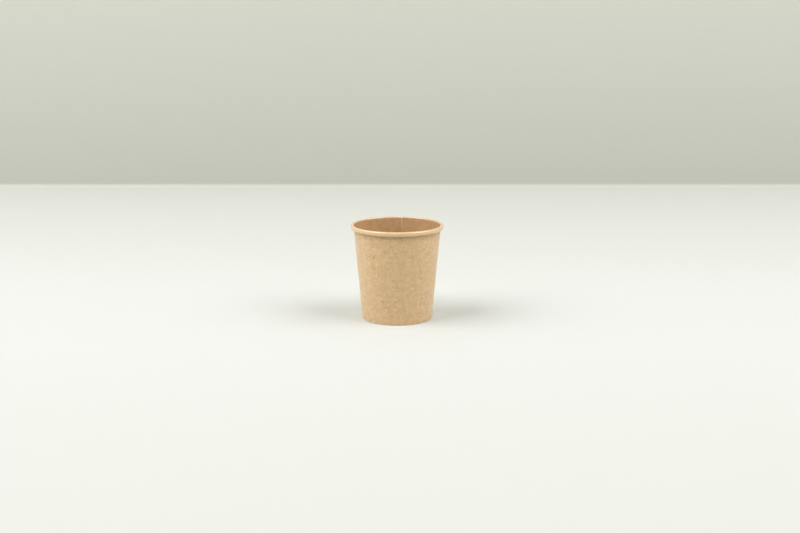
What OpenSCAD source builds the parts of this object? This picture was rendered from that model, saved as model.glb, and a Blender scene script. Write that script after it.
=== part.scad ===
// Paper cup for hot drinks: a lap-seamed side wall with a rolled rim and a folded hem, and a glued-in base.
// The cup stands on z = 0 round the Z axis, in millimetres, and its front looks along -Y.

/* [Cup] */
// Outside diameter over the rolled rim
rim_d = 62; // [54:0.5:80]
// Outside diameter at the foot
foot_d = 46.5; // [38:0.5:52]
// Height from the table to the top of the rim
cup_h = 64; // [50:0.5:120]

/* [Paper] */
// Thickness of the side wall's paper
wall_t = 0.33; // [0.25:0.01:0.45]
// Thickness of the base's paper
base_t = 0.28; // [0.2:0.01:0.4]
// Room for the glue on each face of the base's skirt
glue_gap = 0.02; // [0.01:0.01:0.05]

/* [Rolled rim] */
// Width of the roll, from the wall's inner face to the outside of the rim
roll_w = 2.1; // [1.8:0.1:3]
// Height of the roll
roll_h = 3; // [2.6:0.1:4]
// Gap between the wall and the roll's free edge
roll_gap = 0.05; // [0.02:0.01:0.2]
// Length of the free edge that stands up inside the roll
tuck_len = 0.3; // [0.1:0.1:0.6]

/* [Foot] */
// Height of the base's underside above the table
base_rise = 6; // [4:0.5:12]
// Inside radius of the bend between the base and its skirt
base_bend = 0.5; // [0.2:0.1:1]
// Gap between the hem's top edge and the bend of the base
hem_gap = 0.5; // [0.2:0.1:1.5]
// Gap between the skirt's lower edge and the fold under it
skirt_gap = 0.2; // [0.1:0.1:1]
// Inside radius of the two bends under the foot
fold_bend = 0.06; // [0.03:0.01:0.1]

/* [Lap seam] */
// Width of the glued lap at the top of the wall
lap_w = 5; // [3:0.5:8]
// Length over which the outer sheet runs back into the wall, past the lap
lap_ramp = 6; // [4:0.5:10]
// Length of the ramp's end that is glued to the wall
lap_hold = 0.4; // [0.2:0.1:1]
// How far the outer sheet is pressed into the inner one
lap_press = 0.015; // [0.01:0.005:0.05]
// Height of the step left where the outer sheet runs out
lap_step = 0.015; // [0.01:0.005:0.03]
// Direction of the inner sheet's edge, in degrees round from +X
seam_a = 84; // [0:1:359]

/* [Hidden] */
$fn = 128;

kraft = [0.79, 0.67, 0.51];
kraft_inside = [0.72, 0.57, 0.42];

// Largest turn between two points of a bend, in degrees
bend_step = 15;

// Half the thickness of each paper, from its middle line to a face
wall_half = wall_t / 2;
base_half = base_t / 2;

// Middle line of the roll's upper bend
roll_r = roll_w / 2 - wall_half;
roll_c = [rim_d / 2 - roll_w / 2, cup_h - roll_w / 2];

// Middle line of the outer bend under the foot
fold_r = fold_bend + wall_half;
fold_c = [foot_d / 2, 0] + (fold_r + wall_half) * [-1, 1];

// The wall is the straight line that leaves the fold on its outer side and meets the roll on its inner side
span = roll_c - fold_c;
lean = acos((roll_r + fold_r) / norm(span)) - atan2(span[1], span[0]);
up = [sin(lean), cos(lean)];
out = [cos(lean), -sin(lean)];

// Middle line of the roll's lower bend, sized so that its free edge clears the wall by roll_gap
roll_low = cup_h - roll_h + wall_half;
tuck_r = (roll_r * (1 + out[0]) + (roll_c[1] - roll_low) * up[0] - wall_t - roll_gap) / (1 + out[0] + up[0]);
tuck_c = [rim_d / 2 - wall_half, roll_low] + tuck_r * [-1, 1];

// Middle line of the inner bend under the foot, which leaves room for the skirt between wall and hem
hem_offset = wall_t + base_t + 2 * glue_gap;
hem_c = fold_c - [(hem_offset - 2 * fold_r) / out[0], 0];
hem_top = base_rise - base_bend - hem_gap;
hem_len = (hem_top - hem_c[1] - fold_r * up[0]) / up[1];

// Middle line of the bend between the base and its skirt
skirt_r = base_bend + base_half;
skirt_offset = wall_half + glue_gap + base_half;
skirt_z = base_rise - base_bend;
skirt_c = [wall_r(skirt_z) - (skirt_offset + skirt_r) / out[0], skirt_z];
skirt_len = (skirt_z - skirt_r * up[0] - wall_t - skirt_gap) / up[1];

// The outer sheet of the lap runs from the fold to the underside of the rolled rim
lap_foot = fold_c[1];
lap_top = cup_h - roll_h;
lap_r = face_r(lap_top, -1);
lap_rise = (wall_t - lap_press) / out[0];
lap_half_a = arc_angle(lap_w / 2, lap_r);
lap_end_a = arc_angle(lap_w / 2 + lap_ramp, lap_r);

// Its circle is smaller than the wall's and set off the axis towards the lap, so it stands clear of the wall
// at the lap and comes back to it at the end of the ramp
lap_shift = ((lap_r + lap_rise) ^ 2 - (lap_r + lap_step) ^ 2)
    / (2 * (lap_r + lap_rise - (lap_r + lap_step) * cos(lap_end_a)));
lap_own_r = lap_r + lap_rise - lap_shift;

// The wall inside the ramp is left open from above the base to the rim, so the lap's inner edge shows there
open_foot = base_rise + base_t + base_bend;
open_top = lap_top - wall_t;
open_end_a = arc_angle(lap_w / 2 + lap_ramp - lap_hold, lap_r);

// Angle in degrees of an arc of this length at this radius
function arc_angle(length, radius) = length / radius * 180 / PI;

// Radius of the wall's middle line at a height
function wall_r(z) = fold_c[0] + fold_r * out[0] + (z - fold_c[1] - fold_r * out[1]) * up[0] / up[1];

// Radius of a face of the wall at a height: side 1 is the inner face and -1 the outer
function face_r(z, side) = wall_r(z) - side * wall_half / out[0];

// Points along an arc
function arc(centre, radius, from, to) =
    let (steps = ceil(abs(to - from) / bend_step))
    [for (i = [0 : steps])
        let (a = from + (to - from) * i / steps)
        centre + radius * [cos(a), sin(a)]];

function backwards(points) = [for (i = [len(points) - 1 : -1 : 0]) points[i]];

// One face of the side wall's sheet, from its edge inside the roll to the top of the hem: side 1 is the face
// that is inside the cup, and -1 the other
function sheet_face(side) =
    let (shift = side * wall_half)
    concat(
        [tuck_c - (tuck_r + shift) * out + tuck_len * up],
        arc(tuck_c, tuck_r + shift, 180 - lean, 360),
        arc(roll_c, roll_r + shift, 0, 180 - lean),
        arc(fold_c, fold_r - shift, -lean, -90),
        arc(hem_c, fold_r - shift, -90, -180 - lean),
        [hem_c - (fold_r - shift) * out + hem_len * up]);

// One face of the base's sheet, from the axis to the skirt's lower edge: side 1 is the upper face
function base_face(side) =
    let (radius = skirt_r + side * base_half)
    concat(
        [[0, skirt_c[1] + radius]],
        arc(skirt_c, radius, 90, -lean),
        [skirt_c + radius * out - skirt_len * up]);

// Angle round the lap's own circle of a point at an angle round the cup, both from the lap's middle
function lap_own_angle(a) =
    let (r = lap_shift * cos(a) + sqrt(lap_own_r ^ 2 - (lap_shift * sin(a)) ^ 2))
    atan2(r * sin(a), r * cos(a) - lap_shift);

// Section through the wall alone between two heights, with extra thickness on both faces
module wall_strip(low, high, extra = 0) {
    polygon([
        [face_r(low, 1) - extra, low],
        [face_r(low, -1) + extra, low],
        [face_r(high, -1) + extra, high],
        [face_r(high, 1) - extra, high]
    ]);
}

// Turns a section of the wall about the lap's own axis, between two angles round the cup from the lap's middle
module lap_turn(from_a, to_a) {
    from = lap_own_angle(from_a);
    translate([lap_shift, 0, 0])
        rotate_extrude(start = from, angle = lap_own_angle(to_a) - from)
            translate([lap_rise - lap_shift, 0])
                children();
}

// The outer sheet over the lap and its ramp back into the wall
module lap_sheet() {
    lap_turn(-lap_half_a, lap_end_a)
        wall_strip(lap_foot, lap_top);
}

// The stretch of wall that is left out behind the lap's inner edge
module lap_opening() {
    lap_turn(lap_half_a, open_end_a)
        wall_strip(open_foot, open_top, 2 * wall_t);
}

// Side wall: one blank, rolled to a cone and lapped, with its rim rolled out and its foot folded in
module sidewall() {
    color(kraft)
        rotate(seam_a - lap_half_a) {
            difference() {
                rotate_extrude()
                    polygon(concat(sheet_face(1), backwards(sheet_face(-1))));
                lap_opening();
            }
            lap_sheet();
        }
}

// Base: a round blank with its edge turned down as a skirt between the wall and the hem
module base() {
    color(kraft_inside)
        rotate_extrude()
            polygon(concat(base_face(1), backwards(base_face(-1))));
}

sidewall();
base();
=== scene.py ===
# %% [markdown]
# # A small kraft paper cup
# The cup is made of two pieces of brown paper board. The side wall is a fan-shaped blank, rolled to a
# cone, glued along a lap, curled outwards at the rim and folded inwards at the foot. The base is a round
# blank with its edge turned down, glued between the wall and the fold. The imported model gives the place
# and size of both, so every shape below is measured from it.

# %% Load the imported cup
import math

import bmesh
import bpy
import numpy as np
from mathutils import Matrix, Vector


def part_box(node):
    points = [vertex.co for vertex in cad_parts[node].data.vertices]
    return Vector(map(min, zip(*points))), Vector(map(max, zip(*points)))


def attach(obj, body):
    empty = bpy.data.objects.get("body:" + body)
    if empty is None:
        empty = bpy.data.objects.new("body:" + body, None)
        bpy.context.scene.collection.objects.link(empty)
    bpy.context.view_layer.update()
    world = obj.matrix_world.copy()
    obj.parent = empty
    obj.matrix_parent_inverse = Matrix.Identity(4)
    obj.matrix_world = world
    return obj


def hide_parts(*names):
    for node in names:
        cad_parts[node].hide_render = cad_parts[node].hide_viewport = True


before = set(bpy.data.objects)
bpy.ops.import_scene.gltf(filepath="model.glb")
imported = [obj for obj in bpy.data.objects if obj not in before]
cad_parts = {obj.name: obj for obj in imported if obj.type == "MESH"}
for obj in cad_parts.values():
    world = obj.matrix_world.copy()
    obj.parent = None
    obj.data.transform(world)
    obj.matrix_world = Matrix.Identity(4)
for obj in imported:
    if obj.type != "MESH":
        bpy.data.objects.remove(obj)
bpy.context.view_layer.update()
MM = 0.001
print("packed nodes:", sorted(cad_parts))

# %% [markdown]
# ## Measuring the cup
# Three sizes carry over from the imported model: the radius over the rim, the height, and the radius at the
# foot. The foot's radius is read from the points that lie within half a millimetre of the table, because
# the box of the wall only knows about the wider rim.

# %% Measure the rim, the height and the foot
FOOT_ZONE = 0.5 * MM

wall_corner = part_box("sidewall")[1]
base_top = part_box("base")[1].z
rim_radius = wall_corner.x
cup_height = wall_corner.z
wall_points = [vertex.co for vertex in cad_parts["sidewall"].data.vertices]
foot_radius = max(point.xy.length for point in wall_points if point.z < FOOT_ZONE)
print(f"rim radius {rim_radius / MM:.2f}, height {cup_height / MM:.2f},"
      f" foot radius {foot_radius / MM:.2f} mm")

# %% [markdown]
# ## The camera
# The photograph was taken from a little above the table with a medium lens. The camera looks along +Y, is
# tilted down, and stands a hair to the right of the cup's axis, so the cup sits just left of the middle.

# %% Place the camera
CAMERA_PLACE = (1.9 * MM, -798.3 * MM, 209.3 * MM)
CAMERA_TILT = math.radians(12.32)
LENS_MM = 54.54
SENSOR_MM = 36.0

camera_data = bpy.data.cameras.new("photo_camera")
camera_data.lens = LENS_MM
camera_data.sensor_width = SENSOR_MM
camera = bpy.data.objects.new("photo_camera", camera_data)
camera.location = CAMERA_PLACE
camera.rotation_euler = (math.pi / 2 - CAMERA_TILT, 0, 0)
bpy.context.scene.collection.objects.link(camera)
bpy.context.scene.camera = camera
print(f"camera {-CAMERA_PLACE[1]:.3f} m in front of the cup,"
      f" tilted {math.degrees(CAMERA_TILT):.1f} degrees")

# %% [markdown]
# ## A pen that draws the paper's edge
# Seen in section, each piece of the cup is one strip of paper that runs straight and bends. Such a section
# could be typed in as a list of points, but a strip is better described the way it is folded: so far
# straight on, then round a bend of this radius. The pen below is one vertex in edit mode. A run extrudes
# it, and a bend spins it about the bend's centre. It notes the length of paper used so far at each point,
# because the paper's grain is laid out along that length later.

# %% Make the pen
pen = {}


def start_pen(name, x, z, heading):
    """Starts a new mesh as one vertex in the XZ plane, in edit mode, heading at an angle from +X."""
    bpy.ops.object.select_all(action="DESELECT")
    bpy.ops.mesh.primitive_plane_add(size=MM)
    piece = bpy.context.object
    piece.name = name
    piece.data.name = name
    bpy.ops.object.mode_set(mode="EDIT")
    bpy.ops.mesh.select_mode(type="VERT")
    bpy.ops.mesh.select_all(action="SELECT")
    bpy.ops.mesh.merge(type="CENTER")
    bpy.ops.transform.translate(value=(x, 0, z))
    pen.update(x=x, z=z, heading=heading, used=0.0, trail=[(x, z, 0.0)])
    return piece


def note_point(x, z, used):
    """Moves the pen's own record to a point, with the length of paper used up to there."""
    pen.update(x=x, z=z, used=used)
    pen["trail"].append((x, z, used))


def run(length, steps=1):
    """Extrudes straight on, in equal steps."""
    step = length / steps
    dx = step * math.cos(pen["heading"])
    dz = step * math.sin(pen["heading"])
    for _ in range(steps):
        bpy.ops.mesh.extrude_region_move(TRANSFORM_OT_translate={"value": (dx, 0, dz)})
        note_point(pen["x"] + dx, pen["z"] + dz, pen["used"] + step)


def bend(radius, turn, steps):
    """Spins round a bend: a positive turn is to the left, seen along -Y with +X to the right."""
    side = math.copysign(radius, turn)
    centre_x = pen["x"] - side * math.sin(pen["heading"])
    centre_z = pen["z"] + side * math.cos(pen["heading"])
    bpy.ops.mesh.spin(steps=steps, angle=turn, center=(centre_x, 0, centre_z), axis=(0, 1, 0))
    for _ in range(steps):
        pen["heading"] += turn / steps
        x = centre_x + side * math.sin(pen["heading"])
        z = centre_z - side * math.cos(pen["heading"])
        note_point(x, z, pen["used"] + radius * abs(turn) / steps)


def lift_pen(piece):
    """Leaves edit mode and writes the length of paper at each point into the attribute paper_run."""
    bpy.ops.object.mode_set(mode="OBJECT")
    trail = np.array(pen["trail"])
    runs = piece.data.attributes.new("paper_run", "FLOAT", "POINT")
    worst = 0.0
    for vertex in piece.data.vertices:
        gaps = np.hypot(trail[:, 0] - vertex.co.x, trail[:, 1] - vertex.co.z)
        nearest = int(gaps.argmin())
        worst = max(worst, gaps[nearest])
        runs.data[vertex.index].value = trail[nearest, 2]
    print(f"{piece.name}: {len(piece.data.vertices)} points, {pen['used'] / MM:.2f} mm of paper,"
          f" drawn to {worst / MM:.5f} mm")


# %% [markdown]
# ## How the side wall is folded
# The blank is followed by the middle of its thickness. From its lower edge it comes down as a hem inside
# the foot, turns under the foot in two small bends, climbs as the wall, and curls outwards and down as the
# rim, until its upper edge is tucked up behind the curl. The wall is the one straight line that touches
# the bend at the foot and the curl at the rim, and that fixes how far it leans.

# %% Work out the wall's lean and bends
WALL_T = 0.33 * MM
BASE_T = 0.28 * MM
GLUE_GAP = 0.02 * MM
ROLL_W = 2.1 * MM
ROLL_H = 3.0 * MM
ROLL_GAP = 0.05 * MM
TUCK_LEN = 0.3 * MM
FOLD_BEND = 0.06 * MM
BASE_BEND = 0.5 * MM
HEM_GAP = 0.5 * MM
SKIRT_GAP = 0.2 * MM

wall_half = WALL_T / 2
base_half = BASE_T / 2
base_rise = base_top - BASE_T

roll_r = ROLL_W / 2 - wall_half
roll_centre = Vector((rim_radius - ROLL_W / 2, cup_height - ROLL_W / 2))
fold_r = FOLD_BEND + wall_half
fold_centre = Vector((foot_radius - fold_r - wall_half, fold_r + wall_half))

span = roll_centre - fold_centre
lean = math.acos((roll_r + fold_r) / span.length) - math.atan2(span.y, span.x)
up = Vector((math.sin(lean), math.cos(lean)))
out = Vector((math.cos(lean), -math.sin(lean)))
wall_len = math.sqrt(span.length_squared - (roll_r + fold_r) ** 2)
print(f"the wall leans {math.degrees(lean):.2f} degrees and is {wall_len / MM:.2f} mm long")

# %% Work out the curl at the rim and the hem at the foot
roll_low = cup_height - ROLL_H + wall_half
tuck_r = roll_r * (1 + out.x) + (roll_centre.y - roll_low) * up.x - WALL_T - ROLL_GAP
tuck_r /= 1 + out.x + up.x
roll_face = roll_centre.y - (roll_low + tuck_r)

hem_offset = WALL_T + BASE_T + 2 * GLUE_GAP
under_foot = (hem_offset - 2 * fold_r) / out.x
hem_centre = fold_centre - Vector((under_foot, 0))
hem_top = base_rise - BASE_BEND - HEM_GAP
hem_len = (hem_top - hem_centre.y - fold_r * up.x) / up.y
hem_start = hem_centre - fold_r * out + hem_len * up
print(f"curl {roll_r / MM:.3f} and {tuck_r / MM:.3f} mm, hem {hem_len / MM:.2f} mm up from the foot")

# %% Draw the wall from the hem to the tucked edge
FOLD_STEPS = 8
CURL_STEPS = 18
WALL_STEPS = 24
FOOT_ROW = 0.35 * MM
KNURL_DOWN = 1.0 * MM
KNURL_EASE = 0.4 * MM
KNURL_H = 2.0 * MM

cup_wall = start_pen("cup_wall", hem_start.x, hem_start.y, -math.pi / 2 - lean)
run(KNURL_DOWN)
run(KNURL_EASE)
knurl_start = pen["used"]
run(KNURL_H)
knurl_end = pen["used"]
run(KNURL_EASE)
run(hem_len - pen["used"])
bend(fold_r, math.pi / 2 + lean, FOLD_STEPS)
run(under_foot)
bend(fold_r, math.pi / 2 - lean, FOLD_STEPS)
wall_start = pen["used"]
run(FOOT_ROW)
run(wall_len - FOOT_ROW, steps=WALL_STEPS)
bend(roll_r, lean - math.pi, CURL_STEPS)
run(roll_face)
bend(tuck_r, -math.pi - lean, CURL_STEPS)
run(TUCK_LEN)
lift_pen(cup_wall)

# %% [markdown]
# ## Rolling the blank and lapping its ends
# A cup's wall could be one closed ring, but the real one is a sheet whose two ends overlap. So the section
# is spun a full turn without joining its first and last columns, and then a little further for the lap.
# That last stretch is pushed outwards by one thickness of paper with proportional editing, so the sheet
# climbs smoothly on to its own beginning. In the curl the same push goes inwards, because the paper's
# outer face is inside the curl, and the rim keeps its size. The lap's corner at the foot is clipped, as
# three layers would not fold there.

# %% Spin the wall round and past its own beginning
COLUMNS = 256
LAP_COLUMNS = 7
LAP_W = 5.0 * MM
SEAM_ANGLE = math.radians(84)
ROUND_THE_CUP = {"center": (0, 0, 0), "axis": (0, 0, 1)}
lap_angle = LAP_W / (rim_radius - ROLL_W)

bpy.ops.object.mode_set(mode="EDIT")
bpy.ops.mesh.select_all(action="SELECT")
bpy.ops.mesh.spin(steps=COLUMNS, angle=math.tau, use_auto_merge=False, **ROUND_THE_CUP)
bpy.ops.mesh.hide(unselected=True)
bpy.ops.mesh.spin(steps=LAP_COLUMNS, angle=lap_angle, use_auto_merge=False, **ROUND_THE_CUP)
bpy.ops.mesh.select_all(action="SELECT")
lap_group = cup_wall.vertex_groups.new(name="lap")
bpy.ops.object.vertex_group_assign()
bpy.ops.mesh.reveal(select=False)
bpy.ops.mesh.select_all(action="SELECT")
# The curl lies farthest out, and what is outside on it is the paper's inner face: hence inside here.
bpy.ops.mesh.normals_make_consistent(inside=True)
print(f"{COLUMNS} columns round the cup, and {LAP_COLUMNS} more"
      f" for a lap of {math.degrees(lap_angle):.1f} degrees")

# %% Clip the lap's corner and set the foot aside
ROW_SLACK = 0.01 * MM


def select_points(piece, test):
    """Selects, in edit mode, the vertices that pass a test of the vertex and its length of paper."""
    mesh = bmesh.from_edit_mesh(piece.data)
    runs = mesh.verts.layers.float["paper_run"]
    for vertex in mesh.verts:
        vertex.select_set(False)
    for vertex in mesh.verts:
        if not vertex.hide and test(vertex, vertex[runs]):
            vertex.select_set(True)
    mesh.select_flush(True)
    bmesh.update_edit_mesh(piece.data)


groups = bmesh.from_edit_mesh(cup_wall.data).verts.layers.deform.verify()
first_row = wall_start + FOOT_ROW
bpy.ops.mesh.select_all(action="DESELECT")
select_points(cup_wall, lambda v, used: lap_group.index in v[groups] and used < first_row + ROW_SLACK)
bpy.ops.mesh.delete(type="ONLY_FACE")
select_points(cup_wall, lambda v, used: not v.link_faces)
bpy.ops.mesh.delete(type="VERT")
select_points(cup_wall, lambda v, used: used < first_row - ROW_SLACK)
bpy.ops.mesh.hide(unselected=False)
print(f"the lap starts {FOOT_ROW / MM:.2f} mm up the wall")

# %% Push the lap out by one thickness of paper
LAP_AIR = 0.005 * MM
LAP_RAMP = 6.0 * MM
lap_lift = WALL_T + LAP_AIR

bpy.ops.mesh.select_all(action="DESELECT")
bpy.ops.object.vertex_group_set_active(group="lap")
bpy.ops.object.vertex_group_select()
bpy.ops.transform.shrink_fatten(
    value=lap_lift,
    use_even_offset=False,
    use_proportional_edit=True,
    proportional_edit_falloff="SMOOTH",
    proportional_size=LAP_RAMP,
    use_proportional_connected=True,
)
bpy.ops.mesh.reveal(select=False)
print(f"the lap stands {lap_lift / MM:.3f} mm off the wall")

# %% [markdown]
# ## The knurled hem
# Inside the foot a toothed wheel presses the hem on to the base's skirt while the glue sets, and leaves a
# ring of low ridges. A texture could fake them, but the ring has hard light across it when the cup is
# turned over, so they are real: of every four columns, two are moved towards the axis.

# %% Press the ridges into the hem and turn the seam to its place
RIDGE_COLUMNS = 4
RIDGE_LIFT = 0.15 * MM


def on_ridge(vertex, used):
    """Tells whether a point lies in the knurled band, on one of the columns that stand proud."""
    column = round(-math.atan2(vertex.co.y, vertex.co.x) / math.tau * COLUMNS)
    in_band = knurl_start - ROW_SLACK < used < knurl_end + ROW_SLACK
    return in_band and column % RIDGE_COLUMNS < RIDGE_COLUMNS / 2


select_points(cup_wall, on_ridge)
bpy.ops.transform.shrink_fatten(value=RIDGE_LIFT, use_even_offset=False)
bpy.ops.mesh.select_all(action="SELECT")
bpy.ops.transform.rotate(value=-SEAM_ANGLE, orient_axis="Z", center_override=(0, 0, 0))
bpy.ops.object.mode_set(mode="OBJECT")
print(f"{COLUMNS // RIDGE_COLUMNS} ridges round the hem,"
      f" the lap's inner edge at {math.degrees(SEAM_ANGLE):.0f} degrees")

# %% [markdown]
# ## Laying the blank out flat
# The grain of paper runs across the flat blank, not round the cup. So the wall gets a UV map that is the
# blank itself, in metres: a cone opens out into a fan, with each point as far from the fan's centre as its
# length of paper says, at an angle that is its turn round the cup times the sine of the wall's lean.

# %% Unroll the cone into a fan
SEAM_SLACK = 1e-4


def lay_flat(piece, flat_of_vertex):
    """Gives a piece the UV map paper_flat, in metres, from a function of each vertex."""
    flat = {vertex.index: flat_of_vertex(vertex) for vertex in piece.data.vertices}
    layer = piece.data.uv_layers.new(name="paper_flat")
    for loop in piece.data.loops:
        layer.uv[loop.index].vector = flat[loop.vertex_index]
    values = np.array(list(flat.values()))
    width, height = (values.max(0) - values.min(0)) / MM
    print(f"{piece.name}: its blank is {width:.0f} by {height:.0f} mm")


foot_line = (fold_centre + fold_r * out).x
fan_radius = foot_line / math.sin(lean)
wall_runs = cup_wall.data.attributes["paper_run"].data


def wall_flat(vertex):
    """The place of a point of the wall on its fan."""
    azimuth = math.atan2(vertex.co.y, vertex.co.x)
    turn = (SEAM_ANGLE - azimuth + SEAM_SLACK) % math.tau - SEAM_SLACK
    if any(group.group == lap_group.index for group in vertex.groups):
        turn += math.tau
    radius = fan_radius + wall_runs[vertex.index].value - wall_start
    angle = (turn - math.pi) * math.sin(lean)
    return (radius * math.sin(angle), radius * math.cos(angle) - fan_radius)


lay_flat(cup_wall, wall_flat)

# %% [markdown]
# ## Where the rim is painted paler
# The curl is painted paler than the wall: a painted highlight over the whole rim. The amount is kept as an
# attribute, from 0 on the straight wall to 1 on the curl, for the material to read.

# %% Mark the curl for the painted highlight
# The painted highlight fades in over this length of paper where the wall turns into the curl.
RIM_HIGHLIGHT_EASE = 0.8 * MM
wall_end = wall_start + wall_len

# Painted highlight: each point's share of the paler rim colour, from 0 on the wall to 1 on the curl.
stretch = cup_wall.data.attributes.new("stretch", "FLOAT", "POINT")
for vertex in cup_wall.data.vertices:
    past_wall = (wall_runs[vertex.index].value - wall_end) / RIM_HIGHLIGHT_EASE
    stretch.data[vertex.index].value = min(max(past_wall, 0.0), 1.0)
print(f"{sum(point.value > 0 for point in stretch.data)} points of the wall lie on the curl")

# %% [markdown]
# ## The base
# The base is drawn with the same pen: from the axis out along the disc, round the bend, and down as a
# skirt that lies between the wall and the hem. A full spin closes it, and merging by distance welds the
# points on the axis into one. Its blank is a plain disc, so its UV map is polar.

# %% Draw and spin the base
DISC_STEPS = 10
SKIRT_STEPS = 8
SKIRT_ROWS = 3
BASE_COLUMNS = 192
WELD = 0.001 * MM

skirt_r = BASE_BEND + base_half
skirt_offset = wall_half + GLUE_GAP + base_half
skirt_z = base_rise - BASE_BEND
wall_at_skirt = foot_line + (skirt_z - (fold_centre + fold_r * out).y) * up.x / up.y
disc_r = wall_at_skirt - (skirt_offset + skirt_r) / out.x
skirt_len = (skirt_z - skirt_r * up.x - WALL_T - SKIRT_GAP) / up.y

cup_base = start_pen("cup_base", 0, base_rise + base_half, 0)
run(disc_r, steps=DISC_STEPS)
bend(skirt_r, -math.pi / 2 - lean, SKIRT_STEPS)
run(skirt_len, steps=SKIRT_ROWS)
lift_pen(cup_base)

bpy.ops.object.mode_set(mode="EDIT")
bpy.ops.mesh.select_all(action="SELECT")
bpy.ops.mesh.spin(steps=BASE_COLUMNS, angle=math.tau, **ROUND_THE_CUP)
bpy.ops.mesh.select_all(action="SELECT")
bpy.ops.mesh.remove_doubles(threshold=WELD)
bpy.ops.mesh.normals_make_consistent(inside=False)
bpy.ops.object.mode_set(mode="OBJECT")

base_runs = cup_base.data.attributes["paper_run"].data


def base_flat(vertex):
    """The place of a point of the base on its round blank."""
    azimuth = math.atan2(vertex.co.y, vertex.co.x)
    radius = base_runs[vertex.index].value
    return (radius * math.cos(azimuth), radius * math.sin(azimuth))


lay_flat(cup_base, base_flat)

# %% [markdown]
# ## Materials
# Kraft board is unbleached: long brown fibres lie at all angles in the sheet, some dark, some pale, with
# specks of bark between them. The face outside the cup is bare and matt, the face inside has a thin
# waterproof film that gives it a satin gloss, and because the rim is curled outwards the same film covers
# the rim. The cut edges show the pale core. Every colour is written as it looks on screen, and one
# function turns it into the linear values that Blender counts with.

# %% Helpers for materials


def linear(hex_colour):
    """Turns an sRGB hex colour such as #C8A882 into linear RGBA."""
    channels = [int(hex_colour[i:i + 2], 16) / 255 for i in (1, 3, 5)]
    return [c / 12.92 if c <= 0.04045 else ((c + 0.055) / 1.055) ** 2.4 for c in channels] + [1.0]


def add(tree, kind, inputs=None, **settings):
    """Adds a node, sets its properties, and fills or links the inputs that are named."""
    node = tree.nodes.new(kind)
    for name, value in settings.items():
        setattr(node, name, value)
    for socket, value in (inputs or {}).items():
        if isinstance(value, bpy.types.NodeSocket):
            tree.links.new(value, node.inputs[socket])
        else:
            node.inputs[socket].default_value = value
    return node


def new_material(name):
    """Starts a material with an empty tree, and returns it with the tree."""
    material = bpy.data.materials.new(name)
    material.use_nodes = True
    material.node_tree.nodes.clear()
    return material, material.node_tree


print("kraft brown in linear light:", [round(c, 3) for c in linear("#D1B188")])

# %% [markdown]
# ## Fibres
# A fibre is a short stroke. A Voronoi texture drops one seed in each cell of the sheet and gives the cell
# a random colour. Measuring from the seed, turning by the cell's own random angle and keeping only what
# is near the turned axis leaves one stroke in each cell. The cell's colour also sets how long the stroke
# is, how far it is bowed and how strongly it shows, so no two are alike.

# %% A layer of fibres
LONGEST, SHORTEST = 0.8, 1.6
BOW = 1.4
STROKE_CORE, STROKE_FADE = 0.4, 1.3


def fibres(tree, flat, cell_mm, length_mm, width_mm, share):
    """A mask of bowed strokes on the flat paper: one in each of this share of the cells."""
    scaled = add(tree, "ShaderNodeVectorMath", {0: flat, "Scale": 1 / (cell_mm * MM)},
                 operation="SCALE").outputs[0]
    cells = add(tree, "ShaderNodeTexVoronoi", {"Vector": scaled, "Scale": 1.0}, voronoi_dimensions="2D")
    chance = add(tree, "ShaderNodeSeparateColor", {"Color": cells.outputs["Color"]}).outputs
    away = add(tree, "ShaderNodeVectorMath", {0: scaled, 1: cells.outputs["Position"]},
               operation="SUBTRACT")
    shrink = add(tree, "ShaderNodeMapRange",
                 {"Value": chance["Blue"], "To Min": LONGEST, "To Max": SHORTEST})
    sized = add(tree, "ShaderNodeVectorMath", {0: away.outputs[0], "Scale": shrink.outputs["Result"]},
                operation="SCALE")
    angle = add(tree, "ShaderNodeMath", {0: chance["Red"], 1: math.tau}, operation="MULTIPLY")
    turned = add(tree, "ShaderNodeVectorRotate", {"Vector": sized.outputs[0], "Angle": angle.outputs[0]},
                 rotation_type="Z_AXIS")
    place = add(tree, "ShaderNodeSeparateXYZ", {"Vector": turned.outputs[0]}).outputs

    bow = add(tree, "ShaderNodeMapRange", {"Value": chance["Blue"], "To Min": -BOW, "To Max": BOW})
    square = add(tree, "ShaderNodeMath", {0: place["X"], 1: place["X"]}, operation="MULTIPLY")
    across = add(tree, "ShaderNodeMath", {0: square.outputs[0], 1: bow.outputs["Result"], 2: place["Y"]},
                 operation="MULTIPLY_ADD")

    strong = add(tree, "ShaderNodeMapRange",
                 {"Value": chance["Green"], "From Max": share, "To Min": 1.0, "To Max": 0.0})
    mask = strong.outputs["Result"]
    for offset, size_mm in ((place["X"], length_mm), (across.outputs[0], width_mm)):
        distance = add(tree, "ShaderNodeMath", {0: offset}, operation="ABSOLUTE")
        half = size_mm / cell_mm / 2
        near = add(tree, "ShaderNodeMapRange",
                   {"Value": distance.outputs[0], "From Min": half * STROKE_CORE,
                    "From Max": half * STROKE_FADE, "To Min": 1.0, "To Max": 0.0},
                   interpolation_type="SMOOTHSTEP")
        mask = add(tree, "ShaderNodeMath", {0: mask, 1: near.outputs["Result"]},
                   operation="MULTIPLY").outputs[0]
    return mask


# %% [markdown]
# ## Kraft board
# The same sheet shows two finishes, so one function lays the fibres and takes the finish as values. The
# colour starts at the middle brown, is clouded by slow noise where the pulp lies thicker or thinner, and
# then gets its fibres layer by layer: a fine web, long single fibres, small specks of bark, and clumps
# that are drawn coarser than real ones so that they still show from the camera. A fine wobble of the sheet
# keeps every stroke a little ragged. The fibres stand one or two hundredths of a millimetre proud, which
# the bump gives to the light.

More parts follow.
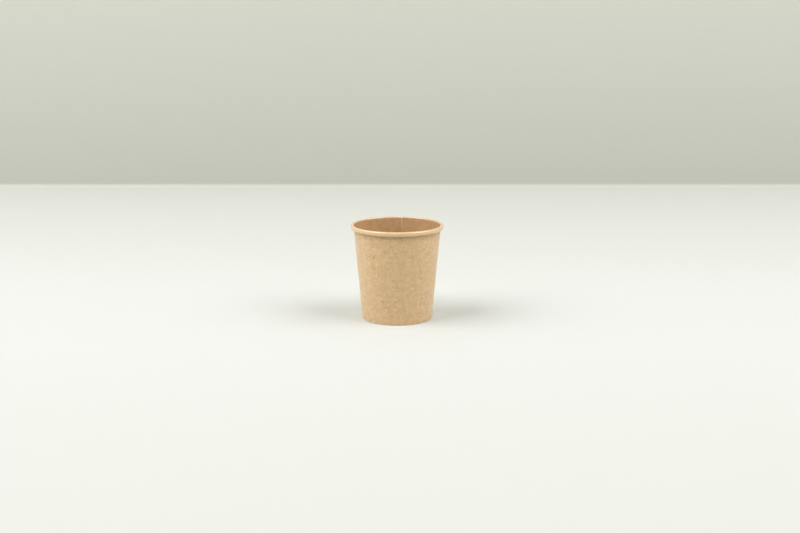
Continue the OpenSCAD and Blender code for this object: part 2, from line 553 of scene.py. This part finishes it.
# %% The layers of fibres
# Cell, length and width in millimetres, share of cells, which colour, how far it covers, how far it lifts
FIBRE_LAYERS = (
    (0.45, 0.55, 0.07, 0.9, "pale", 0.60, 0.5),
    (0.50, 0.60, 0.08, 0.9, "dark", 0.55, 0.4),
    (1.10, 1.30, 0.10, 0.9, "pale", 0.60, 0.9),
    (1.30, 1.50, 0.11, 0.9, "dark", 0.60, 0.7),
    (2.20, 2.60, 0.15, 0.9, "pale", 0.75, 1.0),
    (2.60, 3.00, 0.16, 0.9, "dark", 0.75, 0.8),
    (1.60, 0.34, 0.20, 0.5, "speck", 0.70, 0.2),
    (3.40, 1.60, 0.50, 0.7, "pale", 0.85, 0.5),
    (3.80, 1.60, 0.50, 0.7, "dark", 0.95, 0.2),
    (5.00, 1.70, 0.30, 0.6, "speck", 1.00, 0.3),
)
CLOUD_MM = 4.0
CLOUD_LOW, CLOUD_HIGH = 0.3, 0.7
WOBBLE_MM = 0.45
WOBBLE_REACH_MM = 0.22
# At most this share of the curl's colour is the paler painted highlight.
RIM_HIGHLIGHT_SHARE = 0.6
print(f"{len(FIBRE_LAYERS)} layers of fibres, over clouds of {CLOUD_MM:.0f} mm")


# %% Kraft board, bare or filmed
def kraft_board(name, colours, strength, relief_mm, finish):
    """Kraft board from its colours, its fibres' strength and relief, and the shader's own values."""
    material, tree = new_material(name)
    sheet = add(tree, "ShaderNodeUVMap", uv_map="paper_flat").outputs["UV"]
    wobble = add(tree, "ShaderNodeTexNoise", {"Vector": sheet, "Scale": 1 / (WOBBLE_MM * MM)},
                 noise_dimensions="2D")
    centred = add(tree, "ShaderNodeVectorMath", {0: wobble.outputs["Color"], 1: (0.5, 0.5, 0.5)},
                  operation="SUBTRACT")
    flat = add(tree, "ShaderNodeVectorMath",
               {0: centred.outputs[0], 1: [2 * WOBBLE_REACH_MM * MM] * 3, 2: sheet},
               operation="MULTIPLY_ADD").outputs[0]

    clouds = add(tree, "ShaderNodeTexNoise",
                 {"Vector": sheet, "Scale": 1 / (CLOUD_MM * MM), "Detail": 4.0, "Roughness": 0.6},
                 noise_dimensions="2D")
    cloudy = add(tree, "ShaderNodeMapRange",
                 {"Value": clouds.outputs["Fac"], "From Min": CLOUD_LOW, "From Max": CLOUD_HIGH})
    colour = add(tree, "ShaderNodeMix",
                 {0: cloudy.outputs["Result"], 6: linear(colours["cloud"]), 7: linear(colours["mid"])},
                 data_type="RGBA").outputs[2]

    height = clouds.outputs["Fac"]
    for cell_mm, length_mm, width_mm, share, tint, cover, lift in FIBRE_LAYERS:
        mask = fibres(tree, flat, cell_mm, length_mm, width_mm, share)
        covered = add(tree, "ShaderNodeMath", {0: mask, 1: cover * strength},
                      operation="MULTIPLY").outputs[0]
        colour = add(tree, "ShaderNodeMix", {0: covered, 6: colour, 7: linear(colours[tint])},
                     data_type="RGBA").outputs[2]
        height = add(tree, "ShaderNodeMath", {0: mask, 1: lift, 2: height},
                     operation="MULTIPLY_ADD").outputs[0]

    # Painted highlight: the curl is mixed towards a paler colour, as if lit more brightly.
    if "stretched" in colours:
        curl = add(tree, "ShaderNodeAttribute", attribute_name="stretch")
        paler = add(tree, "ShaderNodeMath", {0: curl.outputs["Fac"], 1: RIM_HIGHLIGHT_SHARE},
                    operation="MULTIPLY").outputs[0]
        colour = add(tree, "ShaderNodeMix", {0: paler, 6: colour, 7: linear(colours["stretched"])},
                     data_type="RGBA").outputs[2]
    bump = add(tree, "ShaderNodeBump", {"Height": height, "Strength": 1.0, "Distance": relief_mm * MM})
    shader = add(tree, "ShaderNodeBsdfPrincipled",
                 {"Base Color": colour, "Normal": bump.outputs["Normal"], **finish})
    add(tree, "ShaderNodeOutputMaterial", {"Surface": shader.outputs["BSDF"]})
    print(f"{name}: {len(tree.nodes)} nodes")
    return material


# %% The bare outer face
# Uncoated board pressed smooth: it is matt, and loose fibre ends give it a faint velvet towards its edges.
kraft_bare = kraft_board(
    "kraft_board_bare",
    colours={"mid": "#D1B188", "cloud": "#C6A578", "pale": "#E8D1AC", "dark": "#A57C56",
             "speck": "#754D2E"},
    strength=1.0, relief_mm=0.02,
    finish={"Roughness": 0.78, "IOR": 1.5, "Specular IOR Level": 0.35,
            "Sheen Weight": 0.3, "Sheen Roughness": 0.5},
)

# %% The filmed inner face and rim
# Board with a thin clear film melted on: the film deepens the brown and lays a satin gloss over it.
# Its paler colour for the curl is a painted highlight on the rim.
kraft_filmed = kraft_board(
    "kraft_board_filmed",
    colours={"mid": "#BE996F", "cloud": "#B38C62", "pale": "#CCAE86", "dark": "#98734C",
             "speck": "#724F2F", "stretched": "#E3C396"},
    strength=0.8, relief_mm=0.012,
    finish={"Roughness": 0.40, "IOR": 1.5, "Coat Weight": 1.0, "Coat Roughness": 0.2, "Coat IOR": 1.5},
)

# %% [markdown]
# ## Cut edges
# Where the board was cut, at the lap and at the hem, its loose core shows: paler than either face, and
# streaked along the sheet. The edge is a third of a millimetre wide, so a fine noise on Object coordinates
# is enough.

# %% The cut edge


def cut_edge(name, pale, dark, grain_mm, relief_mm, roughness):
    """The raw edge of the board, streaked with its layers."""
    material, tree = new_material(name)
    place = add(tree, "ShaderNodeTexCoord").outputs["Object"]
    grain = add(tree, "ShaderNodeTexNoise",
                {"Vector": place, "Scale": 1 / (grain_mm * MM), "Detail": 3.0})
    colour = add(tree, "ShaderNodeMix", {0: grain.outputs["Fac"], 6: linear(dark), 7: linear(pale)},
                 data_type="RGBA").outputs[2]
    bump = add(tree, "ShaderNodeBump", {"Height": grain.outputs["Fac"], "Distance": relief_mm * MM})
    shader = add(tree, "ShaderNodeBsdfPrincipled",
                 {"Base Color": colour, "Normal": bump.outputs["Normal"],
                  "Roughness": roughness, "IOR": 1.5})
    add(tree, "ShaderNodeOutputMaterial", {"Surface": shader.outputs["BSDF"]})
    return material


kraft_edge = cut_edge("kraft_board_cut_edge", pale="#E2CDAA", dark="#C8AA80",
                      grain_mm=0.12, relief_mm=0.02, roughness=0.9)
print("materials:", [material.name for material in (kraft_bare, kraft_filmed, kraft_edge)])

# %% [markdown]
# ## Thickness
# Until now both pieces are sheets without thickness. Solidify turns each into board of its real caliper,
# half to each side of the middle line. Its material offsets give the second face and the cut edges the
# next slots, so bare face, filmed face and edge need no further painting.

# %% Give both pieces their board


def make_board(piece, thickness, faces):
    """Solidifies a sheet about its middle: faces are the materials of its front, back and edge."""
    for material in faces:
        piece.data.materials.append(material)
    bpy.ops.object.select_all(action="DESELECT")
    piece.select_set(True)
    bpy.context.view_layer.objects.active = piece
    board = piece.modifiers.new("board", "SOLIDIFY")
    board.thickness = thickness
    board.offset = 0
    board.use_even_offset = True
    board.material_offset = 1
    board.material_offset_rim = 2
    bpy.ops.object.modifier_apply(modifier="board")
    triangles = sum(len(face.vertices) - 2 for face in piece.data.polygons)
    print(f"{piece.name}: {triangles} triangles")


make_board(cup_wall, WALL_T, (kraft_bare, kraft_filmed, kraft_edge))
make_board(cup_base, BASE_T, (kraft_filmed, kraft_bare, kraft_edge))

# %% [markdown]
# ## The lap's cut edges
# The clamp that glues the seam squashes the two cut edges of the lap, so each slopes back from the sheet it
# lies on and shows a thin pale line of bare core, one inside the cup and one outside. Solidify left these
# edges square. Turning the corner row on the open side a little way back round the cup's axis makes the
# slope, and a bevel is not needed. Inside the cup the line is wide only under the rim, where the curl pulls
# the edge open, and is a hair further down.

# %% Slope the cut edges and smooth the bends
EDGE_SLOPE = 0.45 * MM
FADED_SLOPE = 0.20 * MM
HAIR_SLOPE = 0.08 * MM
FADE_TOP = cup_height - 5.0 * MM
FADE_END = cup_height - 7.5 * MM
EDGE_REACH = math.radians(0.2)
OUTER_FACE, INNER_FACE, CUT_EDGE = range(3)
SMOOTH_BELOW = math.radians(30)


def slope_edge(piece, azimuth, open_face, shift, low=0.0, high=math.inf):
    """Shifts the corner between a cut edge and its open face round the axis, between two heights."""
    bpy.context.view_layer.objects.active = piece
    bpy.ops.object.mode_set(mode="EDIT")
    bpy.ops.mesh.select_all(action="DESELECT")
    mesh = bmesh.from_edit_mesh(piece.data)
    for vertex in mesh.verts:
        slots = {face.material_index for face in vertex.link_faces}
        off_edge = abs(math.atan2(vertex.co.y, vertex.co.x) - azimuth)
        on_edge = {open_face, CUT_EDGE} <= slots and off_edge < EDGE_REACH
        vertex.select_set(on_edge and low <= vertex.co.z < high)
    chosen = sum(vertex.select for vertex in mesh.verts)
    mesh.select_flush(True)
    bmesh.update_edit_mesh(piece.data)
    bpy.ops.transform.rotate(value=-shift / rim_radius, orient_axis="Z", center_override=(0, 0, 0))
    bpy.ops.object.mode_set(mode="OBJECT")
    print(f"{piece.name}: {chosen} points of the edge at {math.degrees(azimuth):.0f} degrees sloped")


slope_edge(cup_wall, SEAM_ANGLE, INNER_FACE, -HAIR_SLOPE, high=FADE_END)
slope_edge(cup_wall, SEAM_ANGLE, INNER_FACE, -FADED_SLOPE, low=FADE_END, high=FADE_TOP)
slope_edge(cup_wall, SEAM_ANGLE, INNER_FACE, -EDGE_SLOPE, low=FADE_TOP)
slope_edge(cup_wall, SEAM_ANGLE - lap_angle, OUTER_FACE, EDGE_SLOPE)
bpy.ops.object.select_all(action="DESELECT")
cup_wall.select_set(True)
cup_base.select_set(True)
bpy.ops.object.shade_smooth_by_angle(angle=SMOOTH_BELOW)

# %% [markdown]
# ## Taking the imported pieces' place
# Nothing on a cup moves, so both pieces ride on its one body. Each stands in for the imported solid of the
# same paper, which is hidden. The imported solids could be dressed as they are, but they have no flat
# layout for the fibres.

# %% Stand the pieces in for the imported nodes
for piece, node, slot in ((cup_wall, "sidewall", "kraft_sidewall"), (cup_base, "base", "kraft_base")):
    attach(piece, "root")
    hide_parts(node)
    print(f"{piece.name} stands in for {node}")

# %% [markdown]
# ## The studio
# The cup stands on a plain white table top with a plain grey wall well behind it. A table and a wall could
# be two planes, but one sheet that bends up at the table's far edge leaves no gap between them.

# %% The table and the sweep behind it
FLOOR_HALF = 3.0
SWEEP_START = 0.590
SWEEP_R = 0.004
SWEEP_STEPS = 12
WALL_H = 2.0

bpy.ops.object.select_all(action="DESELECT")
bpy.ops.mesh.primitive_plane_add(size=2 * FLOOR_HALF)
floor = bpy.context.object
floor.name = "studio_sweep"
bpy.ops.object.mode_set(mode="EDIT")
floor_mesh = bmesh.from_edit_mesh(floor.data)
back_edge = max(floor_mesh.edges, key=lambda edge: sum(vertex.co.y for vertex in edge.verts))
bpy.ops.mesh.select_all(action="DESELECT")
back_edge.select_set(True)
bmesh.update_edit_mesh(floor.data)
bpy.ops.transform.translate(value=(0, SWEEP_START - FLOOR_HALF, 0))
bpy.ops.mesh.spin(
    steps=SWEEP_STEPS,
    angle=-math.pi / 2,
    center=(0, SWEEP_START, SWEEP_R),
    axis=(1, 0, 0),
)
bpy.ops.mesh.extrude_region_move(TRANSFORM_OT_translate={"value": (0, 0, WALL_H)})
bpy.ops.object.mode_set(mode="OBJECT")
bpy.ops.object.shade_smooth_by_angle(angle=SMOOTH_BELOW)
heights = [vertex.co.z for vertex in floor.data.vertices]
print(f"the sweep rises from {min(heights):.2f} to {max(heights):.2f} m")

# %% [markdown]
# The lights of the photograph fade away from the cup: the table is whitest round the foot and the wall is
# palest at its top. Lamps that fall off in just that way are hard to place, so the paper of the sweep is
# toned instead, from one colour to the next by its distance from the cup and by its height.

# %% Paint the table white and the wall grey
TABLE_WHITE = "#C6C7C3"
TABLE_FAR = "#BABBB4"
WALL_GREY = "#B9BAB2"
WALL_PALE = "#C5C6BC"
WHITE_REACH = 0.08
WALL_SEEN = 0.21
SWEEP_FOOT = 0.0002
SWEEP_TOP = 0.002


def fade(tree, value, low, high, first, last):
    """A colour that goes from the first to the last as a value rises from low to high."""
    share = add(tree, "ShaderNodeMapRange", {"Value": value, "From Min": low, "From Max": high})
    mixed = add(tree, "ShaderNodeMix", {0: share.outputs["Result"], 6: first, 7: last}, data_type="RGBA")
    return mixed.outputs[2]


studio, studio_tree = new_material("studio_paper")
studio_place = add(studio_tree, "ShaderNodeTexCoord").outputs["Object"]
studio_axes = add(studio_tree, "ShaderNodeSeparateXYZ", {"Vector": studio_place}).outputs
from_cup = add(studio_tree, "ShaderNodeMath", {0: studio_axes["Y"]}, operation="ABSOLUTE").outputs[0]
height = studio_axes["Z"]
table_colour = fade(studio_tree, from_cup, WHITE_REACH, SWEEP_START, linear(TABLE_WHITE), linear(TABLE_FAR))
wall_colour = fade(studio_tree, height, SWEEP_TOP, WALL_SEEN, linear(WALL_GREY), linear(WALL_PALE))
studio_colour = fade(studio_tree, height, SWEEP_FOOT, SWEEP_TOP, table_colour, wall_colour)
studio_shader = add(studio_tree, "ShaderNodeBsdfPrincipled",
                    {"Base Color": studio_colour, "Roughness": 0.7, "Specular IOR Level": 0.2})
add(studio_tree, "ShaderNodeOutputMaterial", {"Surface": studio_shader.outputs["BSDF"]})
floor.data.materials.append(studio)
print(f"{studio.name}: {len(studio_tree.nodes)} nodes")

# %% [markdown]
# ## Light
# Two wide soft lights stand left and right of the cup and a little in front of it: they brighten its sides
# more than its middle, and leave a short soft shadow on each side of the foot. A smaller, weaker one hangs
# above the camera, lights the front of the rim and leaves the thin shadow under it.

# %% Hang the lights
CUP_MIDDLE = Vector((0, 0, cup_height / 2))
LIGHT_DISTANCE = 3.0


def softbox(name, azimuth, elevation, size, power):
    """A square light that faces the cup, so many degrees right of the front and so many up."""
    turn = math.radians(azimuth)
    rise = math.radians(elevation)
    light = bpy.data.lights.new(name, "AREA")
    light.shape = "SQUARE"
    light.size = size
    light.energy = power
    lamp = bpy.data.objects.new(name, light)
    away = Vector((math.sin(turn) * math.cos(rise), -math.cos(turn) * math.cos(rise), math.sin(rise)))
    lamp.location = CUP_MIDDLE + LIGHT_DISTANCE * away
    lamp.rotation_euler = (-away).to_track_quat("-Z", "Y").to_euler()
    lamp.visible_camera = False
    bpy.context.scene.collection.objects.link(lamp)
    print(f"{name}: {power:.1f} W, {size:.1f} m wide")


softbox("left_softbox", azimuth=-71, elevation=45, size=2.4, power=96)
softbox("right_softbox", azimuth=69, elevation=45, size=2.4, power=81)
softbox("front_softbox", azimuth=0, elevation=52, size=0.6, power=15)

# %% [markdown]
# ## The world
# The room round the cup throws a little light into every shadow. The world gives that as a weak white fill.
# The camera and the mirror-like reflections see a pale grey in its place, so the film on the rim has
# something to reflect.

# %% Fill the shadows from the world
FILL_STRENGTH = 0.08
ROOM_GREY = "#D3D4CE"

world = bpy.data.worlds.new("studio_world")
bpy.context.scene.world = world
world.use_nodes = True
world.node_tree.nodes.clear()
fill = add(world.node_tree, "ShaderNodeBackground",
           {"Color": linear("#FFFFFF"), "Strength": FILL_STRENGTH})
seen = add(world.node_tree, "ShaderNodeBackground", {"Color": linear(ROOM_GREY), "Strength": 1.0})
path = add(world.node_tree, "ShaderNodeLightPath").outputs
mirrored = add(world.node_tree, "ShaderNodeMath",
               {0: path["Is Glossy Ray"], 1: path["Is Transmission Ray"]}, operation="ADD")
shown = add(world.node_tree, "ShaderNodeMath",
            {0: path["Is Camera Ray"], 1: mirrored.outputs[0]}, operation="ADD", use_clamp=True)
either = add(world.node_tree, "ShaderNodeMixShader",
             {0: shown.outputs[0], 1: fill.outputs[0], 2: seen.outputs[0]})
add(world.node_tree, "ShaderNodeOutputWorld", {"Surface": either.outputs[0]})
bpy.context.scene.view_settings.view_transform = "Standard"
print(f"world fill {FILL_STRENGTH:.2f}, seen as {ROOM_GREY}")
